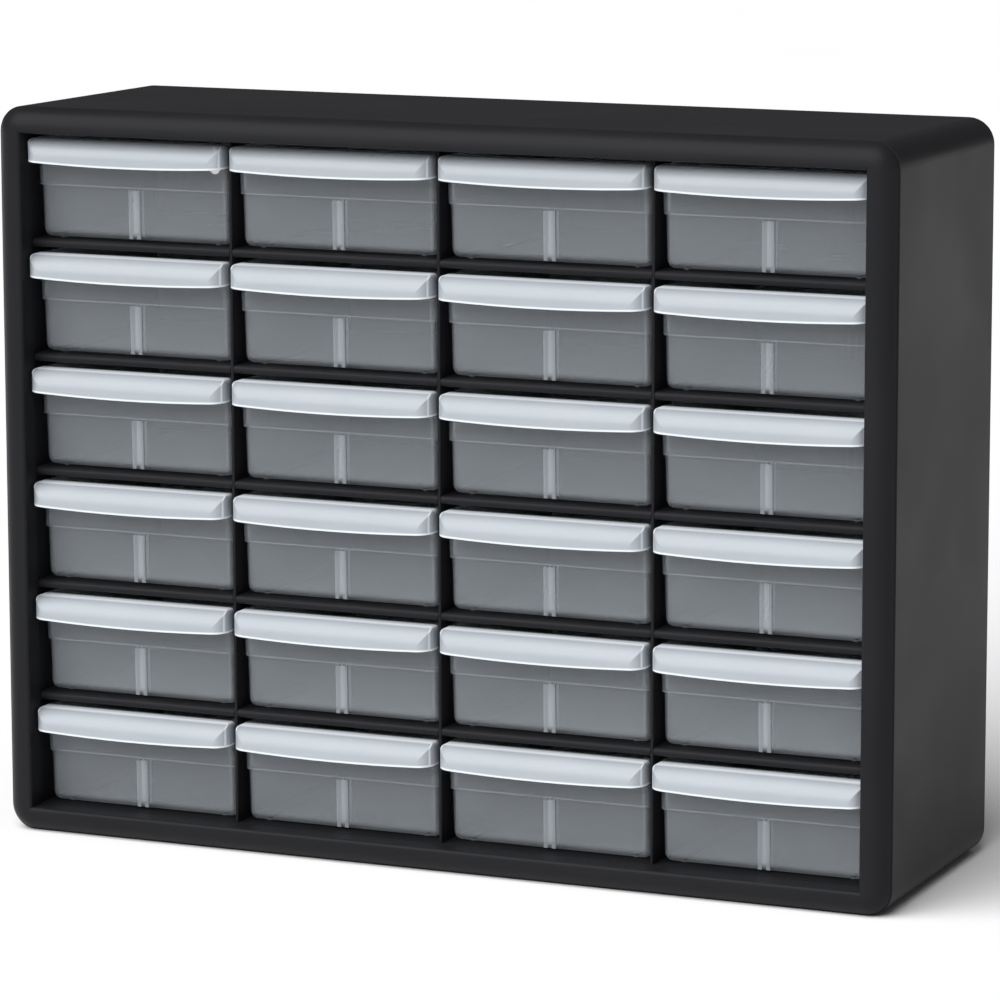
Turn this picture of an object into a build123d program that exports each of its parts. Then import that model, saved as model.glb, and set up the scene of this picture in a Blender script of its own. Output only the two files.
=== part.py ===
from build123d import *
import math
import os

# Small-parts cabinet: a black moulded frame with 24 frosted pull-out drawers.
# Millimetres. +Z is up and the drawers face -Y. The origin is on the ground, at the middle of the
# cabinet's footprint.

# ---------------------------------------------------------------- driving dimensions
WIDTH = 508.0
DEPTH = 162.0
HEIGHT = 396.0
COLUMNS = 4
ROWS = 6
COLUMN_PITCH = 120.0
ROW_PITCH = 62.1
FRONT_Y = -DEPTH / 2
BACK_Y = DEPTH / 2

# Outer body
CORNER_R = 14.0
BULLNOSE_R = 11.6
SEAM_Y = FRONT_Y + 8.0
SHELL_WALL = 2.5
SIDE_DRAFT = 0.6
TOP_DRAFT = 1.8
BACK_EDGE_R = 3.0
TRIM = 0.05  # taken off the underside, so that it is one true plane
RIB_T = 2.0
DEPTH_RIBS = 5
DEPTH_RIB_PITCH = 100.0
DEPTH_RIB_SETBACK = 5.0

# Bezel
OPENING_HALF_X = 238.4
OPENING_EDGE_R = 2.0
FLANGE_T = 2.4
FLANGE_BACK_Y = FRONT_Y + 12.3
POCKET_Y = FRONT_Y + 4.5
TONGUE_T = 2.0
FIT_GAP = 0.1

# Grid of walls and shelves that makes the drawer cells
PARTITION_T = 1.6
PARTITION_NOSE_R = 0.6
GRID_FRONT_Y = FRONT_Y + 13.3
GRID_BACK_Y = BACK_Y - SHELL_WALL - 2 * FIT_GAP
LINER_T = 2.4
SHELF_T = 2.0
FLOOR_T = 2.4
NOSE_H = 4.4
NOSE_D = 6.0
NOSE_R = 2.1
STOP_RIB_Y = -55.0
STOP_RIB_T = 2.0
HALVING_Y = 5.0
SLOT_GAP = 0.1
GROOVE = 1.2
SEAT = 1.0
FLOOR_Z = 13.8
CLEAR = 1.0  # how far a cutting block runs past the surface it cuts

# Keyholes in the back wall, 16 inches apart
KEYHOLE_HALF_X = 203.2
KEYHOLE_Z = 350.0
KEYHOLE_HEAD_R = 4.5
KEYHOLE_SLOT_R = 2.3
KEYHOLE_RISE = 9.0

# Drawer, measured from the floor of its cell
TUB_FRONT_Y = -63.6
TUB_BACK_Y = 75.0
TUB_HALF_X = 58.1
TUB_TOP_Z = 53.8
STEP_Z = 28.9
STEP_IN = 0.8
DRAFT = 1.5
TUB_WALL = 1.6
TUB_CORNER_R = 4.0
TUB_BOTTOM_R = 4.5
RUNNER_H = 0.8
RUNNER_W = 2.0
RUNNER_HALF_X = 46.5
RUNNER_MARGIN = 8.0
SLOT_RIB_T = 2.2
SLOT_RIB_GAP = 2.4
SLOT_RIB_D = 3.0
SLOT_RIB_TOP_Z = 27.6
LIP_HALF_X = 58.0
LIP_TOP_Z = 54.6
LIP_FRONT_Y = -77.7
LIP_ROLL_R = 9.7
LIP_PLAN_R = 7.5
LIP_BOTTOM_Z = 40.7
LIP_BOW = 1.75
LIP_T = 1.6
LIP_END_R = 2.5
TAB_HALF_X = 15.0
TAB_TOP_Z = 59.0
TAB_T = 1.6
TAB_CORNER_R = 3.0

# ---------------------------------------------------------------- derived sizes
GRID_HALF_X = COLUMNS * COLUMN_PITCH / 2 - PARTITION_T / 2
GRID_TOP_Z = FLOOR_Z + ROWS * ROW_PITCH - SHELF_T
OPENING_TOP_Z = FLOOR_Z + ROWS * ROW_PITCH - NOSE_H
OPENING_H = OPENING_TOP_Z - FLOOR_Z
OPENING_MID_Z = (OPENING_TOP_Z + FLOOR_Z) / 2
DECK_HALF_X = GRID_HALF_X + LINER_T
SLOT_W = PARTITION_T + 2 * SLOT_GAP
PARTITION_X = [(i - 1) * COLUMN_PITCH for i in range(COLUMNS - 1)]
SHELF_TOPS = [FLOOR_Z + k * ROW_PITCH for k in range(1, ROWS)]
TUB_LENGTH = TUB_BACK_Y - TUB_FRONT_Y
TUB_MID_Y = (TUB_BACK_Y + TUB_FRONT_Y) / 2


def upright(y):
    """Sketch plane across the cabinet at depth y: x to the right, z up, seen from the front."""
    return Plane.XZ.offset(-y)


def block(x_range, y_range, z_range, mode=Mode.ADD):
    """Rectangular block between two corners, in the part that is being built."""
    (x0, x1), (y0, y1), (z0, z1) = x_range, y_range, z_range
    with Locations(((x0 + x1) / 2, (y0 + y1) / 2, (z0 + z1) / 2)):
        Box(x1 - x0, y1 - y0, z1 - z0, mode=mode)


def save(part, name):
    """Label a finished piece and write it."""
    part.label = name
    export_step(part, f"parts/{name}.step")


os.makedirs("parts", exist_ok=True)

# ---------------------------------------------------------------- rear shell
with BuildPart() as rear_shell:
    # Outside: full size at the seam, a little smaller at the back, flat underneath.
    with BuildSketch(upright(SEAM_Y)):
        with Locations((0, (HEIGHT - TRIM) / 2)):
            RectangleRounded(WIDTH, HEIGHT + TRIM, CORNER_R)
    with BuildSketch(upright(BACK_Y)):
        with Locations((0, (HEIGHT - TOP_DRAFT - TRIM) / 2)):
            RectangleRounded(WIDTH - 2 * SIDE_DRAFT, HEIGHT - TOP_DRAFT + TRIM, CORNER_R)
    loft()
    back_outline = rear_shell.faces().sort_by(Axis.Y)[-1].edges()
    fillet(back_outline, BACK_EDGE_R)
    block((-WIDTH, WIDTH), (SEAM_Y - CLEAR, BACK_Y + CLEAR), (-CLEAR, 0), Mode.SUBTRACT)

    # Inside: the same form, one wall smaller, open at the front.
    with BuildSketch(upright(SEAM_Y)):
        with Locations((0, HEIGHT / 2)):
            RectangleRounded(WIDTH - 2 * SHELL_WALL, HEIGHT - 2 * SHELL_WALL, CORNER_R - SHELL_WALL)
    with BuildSketch(upright(BACK_Y - SHELL_WALL)):
        with Locations((0, (HEIGHT - TOP_DRAFT) / 2)):
            RectangleRounded(
                WIDTH - 2 * SIDE_DRAFT - 2 * SHELL_WALL,
                HEIGHT - TOP_DRAFT - 2 * SHELL_WALL,
                CORNER_R - SHELL_WALL,
            )
    loft(mode=Mode.SUBTRACT)

    # Ribs along the depth carry the grid: five below, five above, three on each side.
    rib_y = (FLANGE_BACK_Y + DEPTH_RIB_SETBACK, BACK_Y - SHELL_WALL / 2)
    wall_mid_z = HEIGHT - SHELL_WALL / 2 - TOP_DRAFT / 2
    for i in range(DEPTH_RIBS):
        x = (i - (DEPTH_RIBS - 1) / 2) * DEPTH_RIB_PITCH
        rib_x = (x - RIB_T / 2, x + RIB_T / 2)
        block(rib_x, rib_y, (SHELL_WALL / 2, FLOOR_Z - FLOOR_T))
        block(rib_x, rib_y, (GRID_TOP_Z + SHELF_T, wall_mid_z))
    wall_mid_x = WIDTH / 2 - SHELL_WALL / 2 - SIDE_DRAFT / 2
    for z in SHELF_TOPS[::2]:
        rib_z = (z - SHELF_T, z)
        block((DECK_HALF_X, wall_mid_x), rib_y, rib_z)
        block((-wall_mid_x, -DECK_HALF_X), rib_y, rib_z)

    # Keyholes: a round entry for the screw head and a narrow slot above it.
    with BuildSketch(upright(BACK_Y)):
        with Locations((-KEYHOLE_HALF_X, KEYHOLE_Z), (KEYHOLE_HALF_X, KEYHOLE_Z)):
            Circle(KEYHOLE_HEAD_R)
        slot_mid_z = KEYHOLE_Z + KEYHOLE_RISE / 2
        with Locations((-KEYHOLE_HALF_X, slot_mid_z), (KEYHOLE_HALF_X, slot_mid_z)):
            SlotOverall(KEYHOLE_RISE + 2 * KEYHOLE_SLOT_R, 2 * KEYHOLE_SLOT_R, rotation=90)
    extrude(amount=2 * SHELL_WALL, both=True, mode=Mode.SUBTRACT)
save(rear_shell.part, "rear_shell")

# ---------------------------------------------------------------- front bezel
with BuildPart() as front_bezel:
    with BuildSketch(upright(FRONT_Y)):
        with Locations((0, HEIGHT / 2)):
            RectangleRounded(WIDTH, HEIGHT, CORNER_R)
    extrude(amount=-(FLANGE_BACK_Y - FRONT_Y))
    outline = front_bezel.faces().sort_by(Axis.Y)[0].edges()
    fillet(outline, BULLNOSE_R)

    # Behind the seam only a tongue is left, which plugs into the shell.
    tongue_out = SHELL_WALL + FIT_GAP
    with BuildSketch(upright(SEAM_Y)):
        with Locations((0, HEIGHT / 2)):
            Rectangle(WIDTH + CORNER_R, HEIGHT + CORNER_R)
            RectangleRounded(
                WIDTH - 2 * tongue_out, HEIGHT - 2 * tongue_out, CORNER_R - tongue_out, mode=Mode.SUBTRACT
            )
    extrude(amount=-(FLANGE_BACK_Y - SEAM_Y), mode=Mode.SUBTRACT)

    # The opening, with a softened front edge.
    with BuildSketch(upright(FRONT_Y)):
        with Locations((0, OPENING_MID_Z)):
            Rectangle(2 * OPENING_HALF_X, OPENING_H)
    extrude(amount=-(FLANGE_BACK_Y - FRONT_Y), mode=Mode.SUBTRACT)
    front_face = front_bezel.faces().sort_by(Axis.Y)[0]
    fillet(front_face.inner_wires().edges(), OPENING_EDGE_R)

    # Pocket from behind, between the flange round the opening and the tongue.
    tongue_in = tongue_out + TONGUE_T
    with BuildSketch(upright(POCKET_Y)):
        with Locations((0, HEIGHT / 2)):
            RectangleRounded(WIDTH - 2 * tongue_in, HEIGHT - 2 * tongue_in, CORNER_R - tongue_in)
        with Locations((0, OPENING_MID_Z)):
            Rectangle(2 * (OPENING_HALF_X + FLANGE_T), OPENING_H + 2 * FLANGE_T, mode=Mode.SUBTRACT)
    extrude(amount=-(FLANGE_BACK_Y - POCKET_Y), mode=Mode.SUBTRACT)
save(front_bezel.part, "front_bezel")


# ---------------------------------------------------------------- grid
def shelf_nose(z_top, slotted):
    """Rounded front bar and the stop rib behind it, both hanging to one level under the shelf."""
    nose_half = GRID_HALF_X - 2 * SLOT_GAP
    with BuildSketch(Plane.YZ) as profile:
        with Locations((GRID_FRONT_Y + NOSE_D / 2, z_top - NOSE_H / 2)):
            nose = Rectangle(NOSE_D, NOSE_H)
        fillet(nose.vertices().group_by(Axis.X)[0], NOSE_R)
    extrude(profile.sketch, amount=nose_half, both=True)
    rib_z = (z_top - NOSE_H, z_top - SHELF_T)
    block((-nose_half, nose_half), (STOP_RIB_Y, STOP_RIB_Y + STOP_RIB_T), rib_z)
    if slotted:
        for x in PARTITION_X:
            slot_x = (x - SLOT_W / 2, x + SLOT_W / 2)
            slot_y = (GRID_FRONT_Y - CLEAR, HALVING_Y + SLOT_GAP)
            block(slot_x, slot_y, (z_top - NOSE_H, z_top), Mode.SUBTRACT)


def make_shelf(z_top):
    """Full-width shelf with half-depth slots that drop over the partitions."""
    half = GRID_HALF_X + GROOVE
    with BuildPart() as shelf:
        block((-half, half), (GRID_FRONT_Y + NOSE_R, GRID_BACK_Y), (z_top - SHELF_T, z_top))
        shelf_nose(z_top, slotted=True)
    return shelf.part


for number, z_top in enumerate(reversed(SHELF_TOPS), start=1):
    save(make_shelf(z_top), f"shelf_{number}")

with BuildPart() as floor_deck:
    block((-DECK_HALF_X, DECK_HALF_X), (GRID_FRONT_Y, GRID_BACK_Y), (FLOOR_Z - FLOOR_T, FLOOR_Z))
    for x in PARTITION_X:
        seat_x = (x - SLOT_W / 2, x + SLOT_W / 2)
        block(seat_x, (GRID_FRONT_Y, GRID_BACK_Y), (FLOOR_Z - SEAT, FLOOR_Z), Mode.SUBTRACT)
save(floor_deck.part, "floor_deck")

with BuildPart() as ceiling_deck:
    deck_top = GRID_TOP_Z + SHELF_T
    block((-DECK_HALF_X, DECK_HALF_X), (GRID_FRONT_Y + NOSE_R, GRID_BACK_Y), (GRID_TOP_Z, deck_top))
    shelf_nose(deck_top, slotted=False)
    for x in PARTITION_X:
        seat_x = (x - SLOT_W / 2, x + SLOT_W / 2)
        seat_z = (OPENING_TOP_Z, GRID_TOP_Z)
        block(seat_x, (GRID_FRONT_Y - CLEAR, STOP_RIB_Y + STOP_RIB_T), seat_z, Mode.SUBTRACT)
        block(seat_x, (GRID_FRONT_Y - CLEAR, GRID_BACK_Y), (GRID_TOP_Z, GRID_TOP_Z + SEAT), Mode.SUBTRACT)
save(ceiling_deck.part, "ceiling_deck")


def make_partition(x):
    """Upright wall between two columns, slotted from behind for the shelves."""
    with BuildPart() as partition:
        z_range = (FLOOR_Z - SEAT, GRID_TOP_Z + SEAT)
        block((x - PARTITION_T / 2, x + PARTITION_T / 2), (GRID_FRONT_Y, GRID_BACK_Y), z_range)
        nose = partition.faces().sort_by(Axis.Y)[0].edges().filter_by(Axis.Z)
        fillet(nose, PARTITION_NOSE_R)
        for z_top in SHELF_TOPS:
            slot_z = (z_top - SHELF_T - SLOT_GAP, z_top)
            slot_y = (HALVING_Y, GRID_BACK_Y)
            block((x - PARTITION_T, x + PARTITION_T), slot_y, slot_z, Mode.SUBTRACT)
    return partition.part


for x, side in zip(PARTITION_X, ("left", "centre", "right")):
    save(make_partition(x), f"partition_{side}")


def make_liner(side):
    """Side wall of the grid, grooved for the shelf ends; side is -1 for left and 1 for right."""
    inner, outer = side * GRID_HALF_X, side * DECK_HALF_X
    groove = side * (GRID_HALF_X + GROOVE)
    with BuildPart() as liner:
        x_range = (min(inner, outer), max(inner, outer))
        block(x_range, (GRID_FRONT_Y, GRID_BACK_Y), (FLOOR_Z, GRID_TOP_Z))
        groove_x = (min(inner, groove), max(inner, groove))
        for z_top in SHELF_TOPS:
            groove_z = (z_top - SHELF_T, z_top)
            block(groove_x, (GRID_FRONT_Y, GRID_BACK_Y), groove_z, Mode.SUBTRACT)
    return liner.part


save(make_liner(-1), "left_liner")
save(make_liner(1), "right_liner")


# ---------------------------------------------------------------- drawer
def tub_inset(z, below_step):
    """How far the drafted side of the tub stands in from its size at the top rim, at height z."""
    drafted = (TUB_TOP_Z - z) * math.tan(math.radians(DRAFT))
    return drafted + STEP_IN if below_step else drafted


def tub_outline(z, inset, radius):
    """Rounded rectangle of the tub at height z, drawn in by inset from its size at the top."""
    with BuildSketch(Plane.XY.offset(z)) as outline:
        with Locations((0, TUB_MID_Y)):
            RectangleRounded(2 * (TUB_HALF_X - inset), TUB_LENGTH - 2 * inset, radius)
    return outline.sketch


def tub_solid(shrink, top_z):
    """Drafted tub form with a step in its sides; shrink offsets it inwards for the cavity."""
    floor_z = RUNNER_H + shrink
    step_z = STEP_Z + shrink
    radius = TUB_CORNER_R - shrink
    with BuildPart() as solid:
        lower = tub_outline(floor_z, tub_inset(floor_z, True) + shrink, radius)
        extrude(lower, amount=step_z - floor_z, taper=-DRAFT)
        fillet(solid.faces().sort_by(Axis.Z)[0].edges(), TUB_BOTTOM_R - shrink)
        upper = tub_outline(step_z, tub_inset(step_z, False) + shrink, radius)
        extrude(upper, amount=top_z - step_z, taper=-DRAFT)
    return solid.part


def lip_solid(shrink, back_y):
    """Visor along the top front edge: rolled front, rounded ends, short drop; shrink is for its hollow."""
    front, top = LIP_FRONT_Y + shrink, LIP_TOP_Z - shrink
    half, low = LIP_HALF_X - shrink, LIP_BOTTOM_Z - shrink
    mid_y, depth = (front + back_y) / 2, back_y - front
    with BuildPart() as solid:
        with BuildSketch(Plane.XY.offset(low)) as top_view:
            with Locations((0, mid_y)):
                Rectangle(2 * half, depth)
            fillet(top_view.vertices().group_by(Axis.Y)[0], LIP_PLAN_R - shrink)
        extrude(top_view.sketch, amount=top - low)
        top_edges = solid.faces().sort_by(Axis.Z)[-1].edges().sort_by(Axis.Y)
        fillet(top_edges[:-1], LIP_END_R - shrink)
        with BuildSketch(Plane.YZ) as side_view:
            with Locations((mid_y, (top + low) / 2)):
                Rectangle(depth, top - low)
            roll_corner = side_view.vertices().group_by(Axis.X)[0].sort_by(Axis.Y)[-1]
            fillet(roll_corner, LIP_ROLL_R - shrink)
        extrude(side_view.sketch, amount=half, both=True, mode=Mode.INTERSECT)
    return solid.part


def make_lip():
    """Hollow visor, open underneath, with its lower edge bowed down in the middle."""
    with BuildPart() as lip:
        add(lip_solid(0, TUB_FRONT_Y + TUB_CORNER_R))
        add(lip_solid(LIP_T, TUB_FRONT_Y), mode=Mode.SUBTRACT)
        with BuildSketch(Plane.XZ) as below:
            with BuildLine():
                half = LIP_HALF_X + CLEAR
                end_z, low_z = LIP_BOTTOM_Z + LIP_BOW, LIP_BOTTOM_Z - CLEAR
                ThreePointArc((-half, end_z), (0, LIP_BOTTOM_Z), (half, end_z))
                Polyline((half, end_z), (half, low_z), (-half, low_z), (-half, end_z))
            make_face()
        extrude(below.sketch, amount=CLEAR - LIP_FRONT_Y, mode=Mode.SUBTRACT)
    return lip.part


def slot_rib_y(end):
    """Depth range of the divider ribs on the front wall (end -1) or the back wall (end 1)."""
    floor_z = RUNNER_H + TUB_WALL
    if end < 0:
        root = TUB_FRONT_Y + tub_inset(SLOT_RIB_TOP_Z, True) + TUB_WALL / 2
        tip = TUB_FRONT_Y + tub_inset(floor_z, True) + TUB_WALL + SLOT_RIB_D
        return root, tip
    root = TUB_BACK_Y - tub_inset(SLOT_RIB_TOP_Z, True) - TUB_WALL / 2
    tip = TUB_BACK_Y - tub_inset(floor_z, True) - TUB_WALL - SLOT_RIB_D
    return tip, root


with BuildPart() as drawer:
    add(tub_solid(0, TUB_TOP_Z))
    add(make_lip())
    add(tub_solid(TUB_WALL, LIP_TOP_Z + CLEAR), mode=Mode.SUBTRACT)

    # Ribs that hold a divider card, a pair at the middle of the front wall and of the back wall.
    rib_mid = (SLOT_RIB_GAP + SLOT_RIB_T) / 2
    for end in (-1, 1):
        for x in (-rib_mid, rib_mid):
            rib_z = (RUNNER_H + TUB_WALL / 2, SLOT_RIB_TOP_Z)
            block((x - SLOT_RIB_T / 2, x + SLOT_RIB_T / 2), slot_rib_y(end), rib_z)

    # Runners under the floor.
    for x in (-RUNNER_HALF_X, RUNNER_HALF_X):
        runner_y = (TUB_FRONT_Y + RUNNER_MARGIN, TUB_BACK_Y - RUNNER_MARGIN)
        block((x - RUNNER_W / 2, x + RUNNER_W / 2), runner_y, (0, RUNNER_H + TUB_WALL / 2))

    # Stop tab on the back wall, which meets the rib under the shelf above.
    with BuildSketch(upright(TUB_BACK_Y)) as tab:
        with Locations((0, (TUB_TOP_Z - TAB_CORNER_R + TAB_TOP_Z) / 2)):
            Rectangle(2 * TAB_HALF_X, TAB_TOP_Z - TUB_TOP_Z + TAB_CORNER_R)
        fillet(tab.vertices().group_by(Axis.Y)[-1], TAB_CORNER_R)
    extrude(tab.sketch, amount=TAB_T)
for row in range(1, ROWS + 1):
    for column in range(1, COLUMNS + 1):
        x = (column - (COLUMNS + 1) / 2) * COLUMN_PITCH
        z = FLOOR_Z + (ROWS - row) * ROW_PITCH
        save(Pos(x, 0, z) * drawer.part, f"drawer_r{row}_c{column}")
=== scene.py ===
import math

import bpy
from mathutils import Matrix, Vector

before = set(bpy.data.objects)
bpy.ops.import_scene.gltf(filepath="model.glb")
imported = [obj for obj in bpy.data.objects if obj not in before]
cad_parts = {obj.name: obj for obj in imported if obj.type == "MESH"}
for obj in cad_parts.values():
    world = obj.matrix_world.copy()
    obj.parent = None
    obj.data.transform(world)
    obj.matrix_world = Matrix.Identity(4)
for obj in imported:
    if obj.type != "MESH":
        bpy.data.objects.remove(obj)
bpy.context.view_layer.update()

# ---------------------------------------------------------------- camera
CAMERA_AZIMUTH = math.radians(23.4997)
CAMERA_ELEVATION = math.radians(9.8767)
CAMERA_ROLL = math.radians(-0.1045)
CAMERA_PLACE = Vector((1.0717, -2.4527, 0.6531))
CAMERA_LENS = 182.83
CAMERA_SENSOR = 36.0
CAMERA_REACH = 100.0


def add_camera():
    """Camera fitted to the photograph: it looks along its own -Z."""
    flat = math.cos(CAMERA_ELEVATION)
    back = Vector(
        (
            math.sin(CAMERA_AZIMUTH) * flat,
            -math.cos(CAMERA_AZIMUTH) * flat,
            math.sin(CAMERA_ELEVATION),
        )
    )
    level = Vector((0.0, 0.0, 1.0)).cross(back).normalized()
    upright = back.cross(level)
    turn = Matrix((level, upright, back)).transposed()
    turn = turn @ Matrix.Rotation(CAMERA_ROLL, 3, "Z")
    data = bpy.data.cameras.new("camera")
    data.sensor_width = CAMERA_SENSOR
    data.lens = CAMERA_LENS
    data.clip_end = CAMERA_REACH
    camera = bpy.data.objects.new("camera", data)
    camera.matrix_world = Matrix.Translation(CAMERA_PLACE) @ turn.to_4x4()
    bpy.context.scene.collection.objects.link(camera)
    bpy.context.scene.camera = camera


# ---------------------------------------------------------------- node helpers
NOISE_LOW = 0.3
NOISE_HIGH = 0.7
EDGE = 0.0003  # half width, in metres, of the blend at the border of a mask


def new_material(name):
    """Empty node material and its tree."""
    material = bpy.data.materials.new(name)
    material.use_nodes = True
    material.node_tree.nodes.clear()
    return material, material.node_tree


def add_node(tree, kind, **values):
    """One node; keyword values are set as attributes."""
    node = tree.nodes.new(kind)
    for key, value in values.items():
        setattr(node, key, value)
    return node


def noise(tree, scale, detail):
    """Noise in object coordinates."""
    place = add_node(tree, "ShaderNodeTexCoord")
    texture = add_node(tree, "ShaderNodeTexNoise")
    texture.inputs["Scale"].default_value = scale
    texture.inputs["Detail"].default_value = detail
    tree.links.new(place.outputs["Object"], texture.inputs["Vector"])
    return texture.outputs["Fac"]


def spread(tree, factor, low, high):
    """Maps a noise factor onto the range low to high."""
    ramp = add_node(tree, "ShaderNodeMapRange")
    ramp.inputs["From Min"].default_value = NOISE_LOW
    ramp.inputs["From Max"].default_value = NOISE_HIGH
    ramp.inputs["To Min"].default_value = low
    ramp.inputs["To Max"].default_value = high
    tree.links.new(factor, ramp.inputs["Value"])
    return ramp.outputs["Result"]


def tint(tree, factor, dark, light):
    """Colour between two tones, by a noise factor."""
    mix = add_node(tree, "ShaderNodeMix", data_type="RGBA")
    mix.inputs["A"].default_value = (*dark, 1.0)
    mix.inputs["B"].default_value = (*light, 1.0)
    tree.links.new(factor, mix.inputs["Factor"])
    return mix.outputs["Result"]


def bump(tree, factor, distance, strength):
    """Surface relief of real depth, in metres."""
    node = add_node(tree, "ShaderNodeBump")
    node.inputs["Distance"].default_value = distance
    node.inputs["Strength"].default_value = strength
    tree.links.new(factor, node.inputs["Height"])
    return node.outputs["Normal"]


def finish_material(tree, shader):
    """Joins a shader to the output."""
    output = add_node(tree, "ShaderNodeOutputMaterial")
    tree.links.new(shader.outputs["BSDF"], output.inputs["Surface"])


def arithmetic(tree, operation, first, second=None, third=None):
    """One step of arithmetic; an operand is a socket or a number."""
    node = add_node(tree, "ShaderNodeMath", operation=operation)
    for socket, operand in zip(node.inputs, (first, second, third)):
        if isinstance(operand, float):
            socket.default_value = operand
        elif operand is not None:
            tree.links.new(operand, socket)
    return node.outputs["Value"]


def below(tree, value, limit):
    """1 where a value is under its limit and 0 above, with a short blend at the limit."""
    ramp = add_node(tree, "ShaderNodeMapRange")
    ramp.inputs["From Min"].default_value = limit - EDGE
    ramp.inputs["From Max"].default_value = limit + EDGE
    ramp.inputs["To Min"].default_value = 1.0
    ramp.inputs["To Max"].default_value = 0.0
    tree.links.new(value, ramp.inputs["Value"])
    return ramp.outputs["Result"]


def above(tree, value, limit):
    """1 where a value is over its limit and 0 under it."""
    return arithmetic(tree, "SUBTRACT", 1.0, below(tree, value, limit))


def band(tree, value, middle, half):
    """1 where a value is within half of the middle and 0 outside."""
    away = arithmetic(tree, "ABSOLUTE", arithmetic(tree, "SUBTRACT", value, middle))
    return below(tree, away, half)


def largest(tree, *masks):
    """The greatest of several masks."""
    result = masks[0]
    for mask in masks[1:]:
        result = arithmetic(tree, "MAXIMUM", result, mask)
    return result


def between(tree, factor, low, high):
    """Number between two values, by a factor."""
    return arithmetic(tree, "MULTIPLY_ADD", factor, high - low, low)


# ---------------------------------------------------------------- materials
BLACK_DARK = (0.0108, 0.0110, 0.0128)
BLACK_LIGHT = (0.0158, 0.0161, 0.0185)
HAZE_DARK = (0.46, 0.50, 0.54)
HAZE_LIGHT = (0.52, 0.56, 0.60)
# Lighter colour painted along the lip's edges as a highlight.
LIP_PAINTED_HIGHLIGHT = (0.68, 0.72, 0.76)
FLOOR_DARK = (0.93, 0.93, 0.93)
FLOOR_LIGHT = (0.96, 0.96, 0.96)
BLACK_ROUGH = (0.38, 0.46)
BLACK_IOR = 1.45
BLACK_SPECULAR = 0.10
BLACK_MOTTLE = (14.0, 3.0)  # noise scale and detail
BLACK_GRAIN = (2600.0, 2.0)
BLACK_RELIEF = (0.00006, 0.3)  # depth in metres and strength
HAZE_ROUGH = (0.28, 0.36)
HAZE_IOR = 1.49
HAZE_MOTTLE = (24.0, 3.0)
HAZE_GRAIN = (1800.0, 2.0)
HAZE_RELIEF = (0.00002, 0.08)
FLOOR_MOTTLE = (3.0, 2.0)
FLOOR_ROUGH = 0.9
FLOOR_SPECULAR = 0.1
TUB_ALPHA = 0.17
SEAM_ALPHA = 0.33
RIB_ALPHA = 0.38
RIB_SIDE_ALPHA = 0.90
LIP_ALPHA = 0.60
LIP_EDGE_ALPHA = 0.95

# Where the parts of a drawer are, in metres, heights from the floor of its cell.
COLUMN_PITCH = 0.120
ROW_PITCH = 0.0621
FLOOR_Z = 0.0138
LIP_BACK_Y = -0.0638
RIB_HALF_X = 0.0035
RIB_TOP_Z = 0.0277
RIB_BACK_Y = -0.0570
STEP_Z = 0.0289
STEP_HALF = 0.0003
CORNER_X = 0.0534
CORNER_HALF = 0.0003
RIM_Z = 0.0530
BOTTOM_LINE_Z = 0.0017
LIP_BOTTOM_Z = 0.0407
LIP_BOW = 0.50  # rise of the lip's lower edge, per metre of the square of the way across
LIP_BOTTOM_LINE = 0.0010
LIP_TOP_Z = 0.0541
LIP_END_X = 0.0568


def black_plastic():
    """Moulded polystyrene: near black, satin, with fine grain and slow changes in gloss."""
    material, tree = new_material("black_plastic")
    shader = add_node(tree, "ShaderNodeBsdfPrincipled")
    mottle = noise(tree, *BLACK_MOTTLE)
    grain = noise(tree, *BLACK_GRAIN)
    tree.links.new(tint(tree, mottle, BLACK_DARK, BLACK_LIGHT), shader.inputs["Base Color"])
    tree.links.new(spread(tree, mottle, *BLACK_ROUGH), shader.inputs["Roughness"])
    tree.links.new(bump(tree, grain, *BLACK_RELIEF), shader.inputs["Normal"])
    shader.inputs["IOR"].default_value = BLACK_IOR
    shader.inputs["Specular IOR Level"].default_value = BLACK_SPECULAR
    finish_material(tree, shader)
    return material


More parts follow.
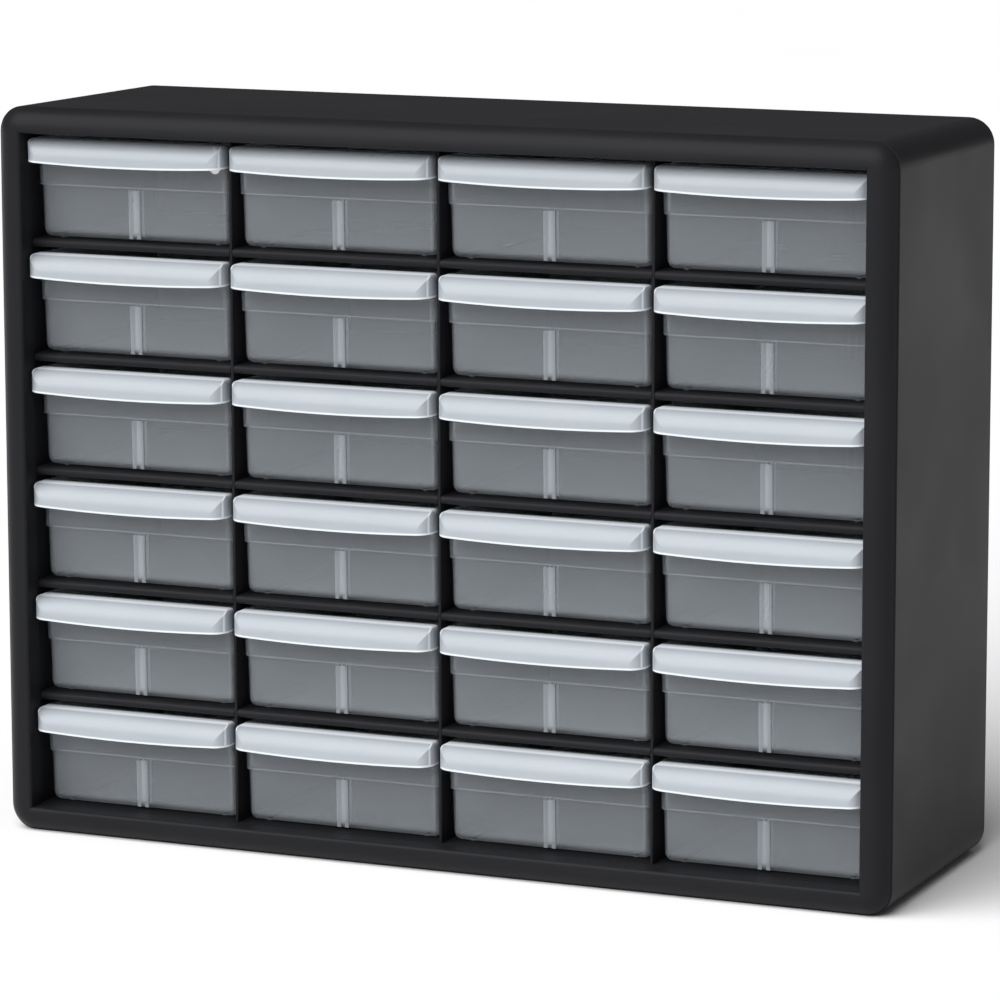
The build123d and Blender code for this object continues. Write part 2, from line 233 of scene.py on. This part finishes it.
def frosted_plastic():
    """Natural polypropylene: a thin haze in the tub, denser in the ribs and in the frosted lip, with a
    painted highlight along the lip's edges.
    """
    material, tree = new_material("frosted_plastic")
    shader = add_node(tree, "ShaderNodeBsdfPrincipled")
    mottle = noise(tree, *HAZE_MOTTLE)
    grain = noise(tree, *HAZE_GRAIN)
    haze = tint(tree, mottle, HAZE_DARK, HAZE_LIGHT)
    tree.links.new(spread(tree, mottle, *HAZE_ROUGH), shader.inputs["Roughness"])
    tree.links.new(bump(tree, grain, *HAZE_RELIEF), shader.inputs["Normal"])

    place = add_node(tree, "ShaderNodeTexCoord")
    split = add_node(tree, "ShaderNodeSeparateXYZ")
    tree.links.new(place.outputs["Object"], split.inputs["Vector"])
    x, y, z = (split.outputs[axis] for axis in "XYZ")
    # Distance from the middle of the drawer, and height above the floor of its cell.
    shifted = arithmetic(tree, "ADD", x, 2 * COLUMN_PITCH)
    across = arithmetic(tree, "MODULO", shifted, COLUMN_PITCH)
    off_middle = arithmetic(tree, "ABSOLUTE", arithmetic(tree, "SUBTRACT", across, COLUMN_PITCH / 2))
    height = arithmetic(tree, "MODULO", arithmetic(tree, "SUBTRACT", z, FLOOR_Z), ROW_PITCH)

    # The pair of divider ribs, brightest on the sides that the light travels along.
    at_middle = below(tree, off_middle, RIB_HALF_X)
    in_rib = arithmetic(tree, "MULTIPLY", at_middle, below(tree, height, RIB_TOP_Z))
    in_rib = arithmetic(tree, "MULTIPLY", in_rib, below(tree, y, RIB_BACK_Y))
    form = add_node(tree, "ShaderNodeNewGeometry")
    facing = add_node(tree, "ShaderNodeSeparateXYZ")
    tree.links.new(form.outputs["True Normal"], facing.inputs["Vector"])
    sideways = arithmetic(tree, "ABSOLUTE", facing.outputs["X"])
    rib_alpha = between(tree, sideways, RIB_ALPHA, RIB_SIDE_ALPHA)

    # Bright lines where the wall turns: at the step, the corners, the bottom and the rim.
    step_line = band(tree, height, STEP_Z, STEP_HALF)
    corner_line = band(tree, off_middle, CORNER_X, CORNER_HALF)
    bottom_line = below(tree, height, BOTTOM_LINE_Z)
    rim_line = above(tree, height, RIM_Z)
    seam = largest(tree, step_line, corner_line, bottom_line, rim_line)

    # The lip: hazy all over, nearly solid along its top and its bowed lower edge and near its ends,
    # where a lighter colour is also painted on as a highlight.
    bowed = arithmetic(tree, "MULTIPLY", arithmetic(tree, "MULTIPLY", off_middle, off_middle), LIP_BOW)
    over_edge = arithmetic(tree, "SUBTRACT", height, bowed)
    low_line = below(tree, over_edge, LIP_BOTTOM_Z + LIP_BOTTOM_LINE)
    top_line = above(tree, height, LIP_TOP_Z)
    end_line = band(tree, off_middle, LIP_END_X, CORNER_HALF)
    lip_edge = largest(tree, low_line, top_line, end_line)
    in_lip = below(tree, y, LIP_BACK_Y)
    # Painted highlight: the lip's top, bowed lower edge and ends are mixed toward a lighter colour.
    lip_highlight_paint = add_node(tree, "ShaderNodeMix", data_type="RGBA")
    lip_highlight_paint.inputs["B"].default_value = (*LIP_PAINTED_HIGHLIGHT, 1.0)
    tree.links.new(arithmetic(tree, "MULTIPLY", in_lip, lip_edge), lip_highlight_paint.inputs["Factor"])
    tree.links.new(haze, lip_highlight_paint.inputs["A"])
    tree.links.new(lip_highlight_paint.outputs["Result"], shader.inputs["Base Color"])
    lip_alpha = between(tree, lip_edge, LIP_ALPHA, LIP_EDGE_ALPHA)

    in_tub = between(tree, seam, TUB_ALPHA, SEAM_ALPHA)
    rib_layer = arithmetic(tree, "MULTIPLY", in_rib, rib_alpha)
    lip_layer = arithmetic(tree, "MULTIPLY", in_lip, lip_alpha)
    tree.links.new(largest(tree, in_tub, rib_layer, lip_layer), shader.inputs["Alpha"])
    shader.inputs["IOR"].default_value = HAZE_IOR
    finish_material(tree, shader)
    return material


def pale_floor():
    """Matt near-white floor."""
    material, tree = new_material("floor")
    shader = add_node(tree, "ShaderNodeBsdfPrincipled")
    mottle = noise(tree, *FLOOR_MOTTLE)
    colour = tint(tree, mottle, FLOOR_DARK, FLOOR_LIGHT)
    tree.links.new(colour, shader.inputs["Base Color"])
    shader.inputs["Roughness"].default_value = FLOOR_ROUGH
    shader.inputs["Specular IOR Level"].default_value = FLOOR_SPECULAR
    finish_material(tree, shader)
    return material


# ---------------------------------------------------------------- object
def dress(names, material):
    """Gives CAD nodes a material."""
    for name in names:
        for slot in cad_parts[name].material_slots:
            slot.material = material


# ---------------------------------------------------------------- stage
FLOOR_HALF = 20.0
WORLD_STRENGTH = 0.12
WORLD_COLOUR = (1.0, 1.0, 1.0, 1.0)
SUN_TOWARD = (0.3, 0.85, -0.9)
SUN_SPREAD = math.radians(70.0)
SUN_STRENGTH = 4.3


def add_floor():
    """Plain floor under the cabinet."""
    corners = [(-1, -1), (1, -1), (1, 1), (-1, 1)]
    mesh = bpy.data.meshes.new("floor")
    mesh.from_pydata([(x * FLOOR_HALF, y * FLOOR_HALF, 0.0) for x, y in corners], [], [(0, 1, 2, 3)])
    mesh.materials.append(pale_floor())
    floor = bpy.data.objects.new("floor", mesh)
    bpy.context.scene.collection.objects.link(floor)


def add_sun():
    """Very soft, even light from the front left and above."""
    data = bpy.data.lights.new("sky_light", "SUN")
    data.angle = SUN_SPREAD
    data.energy = SUN_STRENGTH
    sun = bpy.data.objects.new("sky_light", data)
    sun.rotation_euler = Vector(SUN_TOWARD).to_track_quat("-Z", "Y").to_euler()
    bpy.context.scene.collection.objects.link(sun)


def add_world():
    """Even, dim, colourless surroundings."""
    world = bpy.data.worlds.new("studio")
    world.use_nodes = True
    tree = world.node_tree
    tree.nodes.clear()
    surround = add_node(tree, "ShaderNodeBackground")
    surround.inputs["Color"].default_value = WORLD_COLOUR
    surround.inputs["Strength"].default_value = WORLD_STRENGTH
    output = add_node(tree, "ShaderNodeOutputWorld")
    tree.links.new(surround.outputs["Background"], output.inputs["Surface"])
    bpy.context.scene.world = world


add_camera()
black = black_plastic()
frosted = frosted_plastic()
drawer_names = [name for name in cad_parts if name.startswith("drawer_")]
dress([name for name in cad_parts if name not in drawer_names], black)
dress(drawer_names, frosted)
add_floor()
add_world()
add_sun()
bpy.context.scene.view_settings.view_transform = "Standard"
